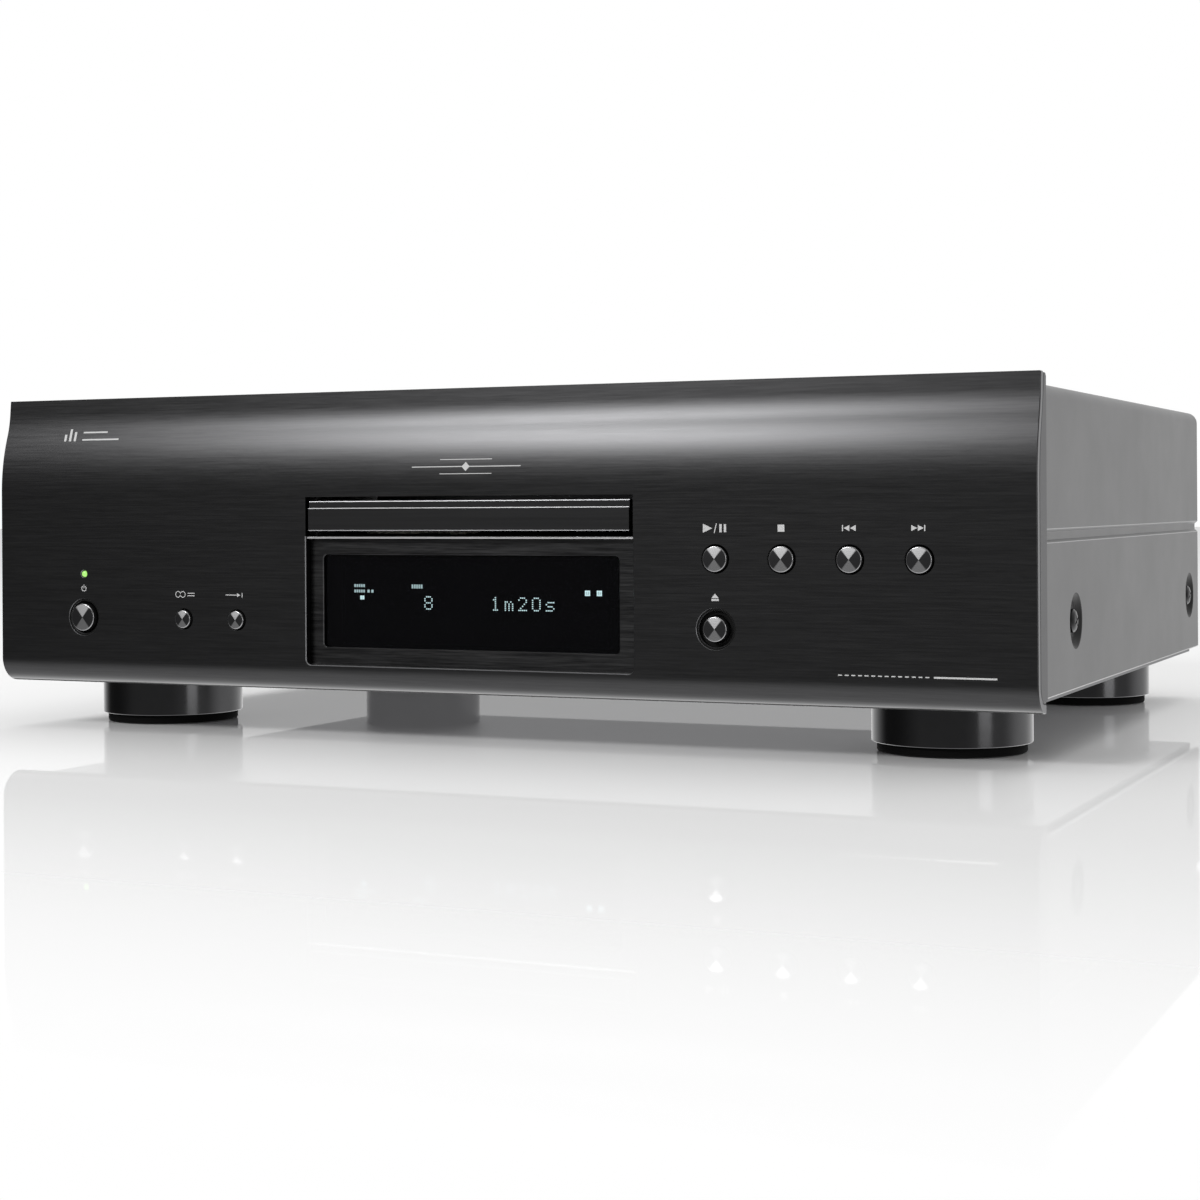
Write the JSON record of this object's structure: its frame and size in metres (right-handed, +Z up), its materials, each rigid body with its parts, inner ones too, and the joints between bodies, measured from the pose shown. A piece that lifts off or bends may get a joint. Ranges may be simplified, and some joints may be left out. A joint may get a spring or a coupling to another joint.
{
  "type": "cd player",
  "caption": "Full-width hi-fi disc player with a curved metal fascia, sliding disc tray, round push buttons and four round feet.",
  "frame": {"origin": "on the table, under the middle of the player's bounding box", "axes": "+X to the right seen from the front, +Y from the front to the back, +Z up"},
  "size_m": [0.434, 0.329, 0.135],
  "materials": {
    "fascia": "black anodised, brushed along its length",
    "case_paint": "satin charcoal paint",
    "moulded_frame": "moulded, dark grey",
    "tray_plastic": "fine matt black",
    "socket_plastic": "moulded black",
    "spun_metal": "turned in fine circles",
    "foot_metal": "dark polished metal",
    "foot_rubber": "black rubber",
    "screw_steel": "blackened steel",
    "plated_steel": "zinc plated",
    "dark_glass": "smoked acrylic, polished",
    "status_green": "clear green lamp",
    "circuit_board": "green solder mask",
    "gold_plate": "gold plated",
    "winding": "lacquered copper wire with tape",
    "white_acetal": "natural white acetal",
    "lens_glass": "clear coated lens"
  },
  "bodies": {
    "case": {"front_panel": "fascia", "front_frame": "moulded_frame", "window_bezel": "fascia", "display_window": "dark_glass", "display_module": "dark_glass", "front_board": "circuit_board", "status_light": "status_green", "top_cover": "case_paint", "base_pan": "plated_steel", "rear_panel": "case_paint", "foot_front_left": "foot_metal", "foot_front_right": "foot_metal", "foot_rear_left": "foot_metal", "foot_rear_right": "foot_metal", "foot_pad_front_left": "foot_rubber", "foot_pad_front_right": "foot_rubber", "foot_pad_rear_left": "foot_rubber", "foot_pad_rear_right": "foot_rubber", "side_screw_left_front": "screw_steel", "side_screw_left_rear": "screw_steel", "side_screw_right_front": "screw_steel", "side_screw_right_rear": "screw_steel", "analog_output_block": "gold_plate", "coaxial_jack": "gold_plate", "optical_jack": "socket_plastic", "remote_jack_block": "socket_plastic", "ac_inlet": "socket_plastic", "transformer_core": "plated_steel", "transformer_winding": "winding", "power_board": "circuit_board", "audio_board": "circuit_board", "loader_frame": "moulded_frame", "loading_motor": "plated_steel", "loading_belt": "foot_rubber", "clamp_bridge": "plated_steel"},
    "tray": {"disc_tray": "tray_plastic", "tray_door": "fascia"},
    "loading_wheel": {"loading_gear": "white_acetal"},
    "pulley_wheel": {"pulley_gear": "white_acetal"},
    "motor_wheel": {"motor_pulley": "gold_plate"},
    "puck": {"clamp_puck": "tray_plastic"},
    "traverse": {"traverse_frame": "moulded_frame", "guide_rod_left": "plated_steel", "guide_rod_right": "plated_steel", "spindle_motor": "plated_steel", "feed_motor": "plated_steel"},
    "platter": {"turntable": "tray_plastic"},
    "pickup": {"pickup_sled": "plated_steel"},
    "lens": {"objective_lens": "lens_glass"},
    "feed_wheel": {"feed_gear": "white_acetal"},
    "feed_drive": {"feed_pinion": "gold_plate"},
    "slider": {"cam_slider": "white_acetal"},
    "power_key": {"power_button": "spun_metal"},
    "layer_key": {"layer_button": "spun_metal"},
    "direct_key": {"direct_button": "spun_metal"},
    "play_key": {"play_button": "spun_metal"},
    "stop_key": {"stop_button": "spun_metal"},
    "previous_key": {"previous_button": "spun_metal"},
    "next_key": {"next_button": "spun_metal"},
    "eject_key": {"eject_button": "spun_metal"}
  },
  "joints": [
    {"name": "tray_slide", "type": "slide", "parent": "case", "child": "tray", "axis": [0, -1, 0], "range_m": [0, 0.14]},
    {"name": "loading_gear_spin", "type": "hinge", "parent": "case", "child": "loading_wheel", "pos_m": [-0.0432, -0.129, 0.0797], "axis": [0, 0, 1], "range_deg": [0, 535.8]},
    {"name": "pulley_gear_spin", "type": "hinge", "parent": "case", "child": "pulley_wheel", "pos_m": [-0.0207, -0.129, 0.075], "axis": [0, 0, 1], "range_deg": [-1070.5, 0]},
    {"name": "motor_pulley_spin", "type": "hinge", "parent": "case", "child": "motor_wheel", "pos_m": [0.0103, -0.129, 0.075], "axis": [0, 0, 1], "range_deg": [-4160.2, 0]},
    {"name": "traverse_lift", "type": "hinge", "parent": "case", "child": "traverse", "pos_m": [0, 0.02, 0.072], "axis": [-1, 0, 0], "range_deg": [0, 4.41]},
    {"name": "cam_slide", "type": "slide", "parent": "case", "child": "slider", "axis": [-1, 0, 0], "range_m": [0, 0.0242]},
    {"name": "turntable_spin", "type": "hinge", "parent": "traverse", "child": "platter", "pos_m": [0, -0.08461, 0.07596], "axis": [0, -0.0769, 0.997], "continuous": true},
    {"name": "clamp_spin", "type": "hinge", "parent": "case", "child": "puck", "pos_m": [0, -0.084, 0.092], "axis": [0, 0, 1], "continuous": true},
    {"name": "sled_slide", "type": "slide", "parent": "traverse", "child": "pickup", "axis": [0, 0.997, 0.0769], "range_m": [0, 0.033]},
    {"name": "feed_gear_spin", "type": "hinge", "parent": "traverse", "child": "feed_wheel", "pos_m": [-0.0346, -0.04205, 0.07022], "axis": [0, -0.0769, 0.997], "range_deg": [0, 316.1]},
    {"name": "feed_pinion_spin", "type": "hinge", "parent": "traverse", "child": "feed_drive", "pos_m": [-0.0346, -0.02398, 0.07011], "axis": [0, -0.0769, 0.997], "range_deg": [-631.3, 0]},
    {"name": "lens_focus", "type": "slide", "parent": "pickup", "child": "lens", "axis": [0, -0.0769, 0.997], "range_m": [-0.0005, 0.0005], "stiffness_N_per_m": 60},
    {"name": "power_press", "type": "slide", "parent": "case", "child": "power_key", "axis": [0, 1, 0], "range_m": [0, 0.001], "stiffness_N_per_m": 300, "springref_m": -0.002},
    {"name": "layer_press", "type": "slide", "parent": "case", "child": "layer_key", "axis": [0, 1, 0], "range_m": [0, 0.001], "stiffness_N_per_m": 300, "springref_m": -0.002},
    {"name": "direct_press", "type": "slide", "parent": "case", "child": "direct_key", "axis": [0, 1, 0], "range_m": [0, 0.001], "stiffness_N_per_m": 300, "springref_m": -0.002},
    {"name": "play_press", "type": "slide", "parent": "case", "child": "play_key", "axis": [0, 1, 0], "range_m": [0, 0.001], "stiffness_N_per_m": 300, "springref_m": -0.002},
    {"name": "stop_press", "type": "slide", "parent": "case", "child": "stop_key", "axis": [0, 1, 0], "range_m": [0, 0.001], "stiffness_N_per_m": 300, "springref_m": -0.002},
    {"name": "previous_press", "type": "slide", "parent": "case", "child": "previous_key", "axis": [0, 1, 0], "range_m": [0, 0.001], "stiffness_N_per_m": 300, "springref_m": -0.002},
    {"name": "next_press", "type": "slide", "parent": "case", "child": "next_key", "axis": [0, 1, 0], "range_m": [0, 0.001], "stiffness_N_per_m": 300, "springref_m": -0.002},
    {"name": "eject_press", "type": "slide", "parent": "case", "child": "eject_key", "axis": [0, 1, 0], "range_m": [0, 0.001], "stiffness_N_per_m": 300, "springref_m": -0.002}
  ],
  "couplings": [
    {"joint": "loading_gear_spin", "follows": "tray_slide", "rad_per_m": 66.667},
    {"joint": "pulley_gear_spin", "follows": "tray_slide", "rad_per_m": -133.33},
    {"joint": "motor_pulley_spin", "follows": "tray_slide", "rad_per_m": -518.52},
    {"joint": "cam_slide", "follows": "traverse_lift", "m_per_rad": 0.31169},
    {"joint": "clamp_spin", "follows": "turntable_spin", "ratio": 1},
    {"joint": "feed_gear_spin", "follows": "sled_slide", "rad_per_m": 166.67},
    {"joint": "feed_pinion_spin", "follows": "sled_slide", "rad_per_m": -333.33}
  ]
}
